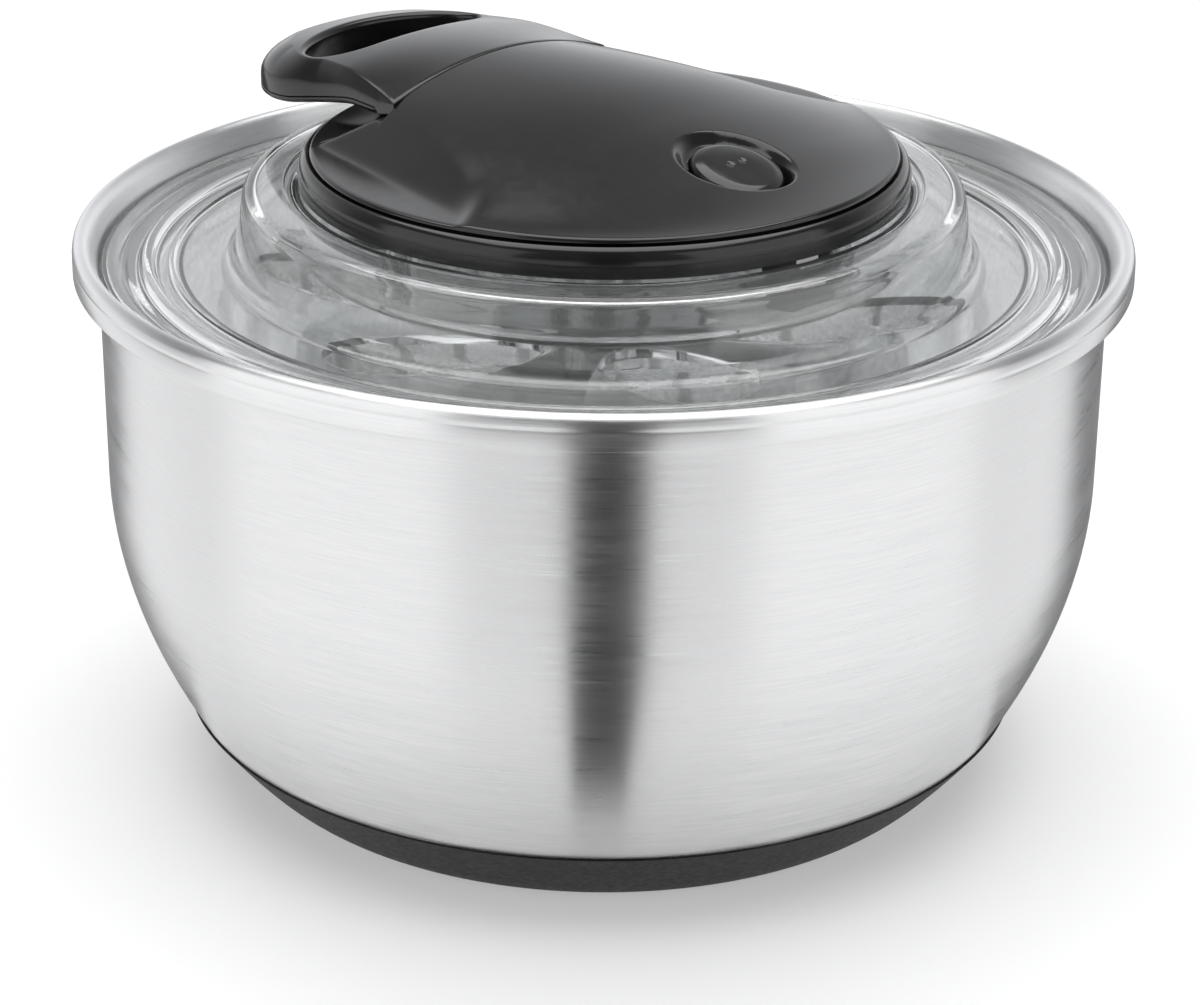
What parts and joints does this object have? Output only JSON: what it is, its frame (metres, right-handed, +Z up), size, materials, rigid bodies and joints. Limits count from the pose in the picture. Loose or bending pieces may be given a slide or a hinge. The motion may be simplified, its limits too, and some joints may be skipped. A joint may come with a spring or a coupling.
{
  "type": "salad spinner",
  "caption": "Steel bowl on a soft foot with a clear lid, a domed pull-cord drive with a loop handle and brake button, and a slotted basket inside.",
  "frame": {"origin": "middle of the foot ring's underside, on the table", "axes": "+Z up along the spin axis; the pull handle points to -X and the brake button sits towards +X"},
  "size_m": [0.26, 0.26, 0.1752],
  "materials": {
    "brushed_steel": "fine horizontal brushing, satin",
    "bright_steel": "bright, smooth",
    "silicone": "matte, soft",
    "black_plastic": "semi-gloss moulded",
    "clear_plastic": "clear, polished",
    "frosted_plastic": "clear, lightly frosted",
    "white_plastic": "moulded, satin",
    "cord": "fine braid"
  },
  "bodies": {
    "bowl": {"steel_bowl": "brushed_steel", "foot_ring": "silicone"},
    "basket": {"basket": "frosted_plastic", "basket_pivot_bush": "white_plastic"},
    "lid": {"lid_shell": "clear_plastic", "lid_bush": "white_plastic", "cover_screw_1": "bright_steel", "cover_screw_2": "bright_steel", "cover_screw_3": "bright_steel", "base_ring": "black_plastic", "dome_cover": "black_plastic", "cord_eyelet": "bright_steel", "recoil_spring": "bright_steel", "arm_pin": "bright_steel", "arm_bracket": "black_plastic", "brake_spring": "bright_steel", "cord_run": "cord"},
    "drive": {"drive_plate": "clear_plastic", "drive_shaft": "bright_steel", "drive_screw": "bright_steel", "brake_disc": "white_plastic", "ratchet_wheel": "white_plastic"},
    "spool": {"spool": "white_plastic", "cord_winding": "cord", "pawl_1": "black_plastic", "pawl_2": "black_plastic"},
    "handle": {"handle_grip": "black_plastic", "handle_under": "black_plastic", "cord_anchor": "bright_steel", "cord_lead": "cord"},
    "button": {"brake_button": "black_plastic"},
    "brake": {"brake_arm": "white_plastic", "brake_pad": "silicone"}
  },
  "joints": [
    {"name": "basket_spin", "type": "hinge", "parent": "bowl", "child": "basket", "pos_m": [0, 0, 0], "axis": [0, 0, 1], "continuous": true},
    {"name": "lid_lift", "type": "slide", "parent": "bowl", "child": "lid", "axis": [0, 0, 1], "range_m": [0, 0.16]},
    {"name": "drive_spin", "type": "hinge", "parent": "lid", "child": "drive", "pos_m": [0, 0, 0.1], "axis": [0, 0, 1], "continuous": true},
    {"name": "handle_pull", "type": "slide", "parent": "lid", "child": "handle", "axis": [-1, 0, 0], "range_m": [0, 0.45], "stiffness_N_per_m": 12, "springref_m": -0.35},
    {"name": "spool_spin", "type": "hinge", "parent": "lid", "child": "spool", "pos_m": [0, 0, 0.155], "axis": [0, 0, 1], "range_deg": [0, 1090]},
    {"name": "button_press", "type": "slide", "parent": "lid", "child": "button", "axis": [-0.2924, 0, -0.9563], "range_m": [0, 0.002], "stiffness_N_per_m": 600, "springref_m": -0.001},
    {"name": "brake_swing", "type": "hinge", "parent": "lid", "child": "brake", "pos_m": [0.0615, 0, 0.146], "axis": [0, -1, 0], "range_deg": [0, 5], "deforming": ["brake_spring"]}
  ],
  "couplings": [
    {"joint": "drive_spin", "follows": "basket_spin", "ratio": 1},
    {"joint": "spool_spin", "follows": "handle_pull", "rad_per_m": 42.194},
    {"joint": "brake_swing", "follows": "button_press", "rad_per_m": 42.9}
  ]
}
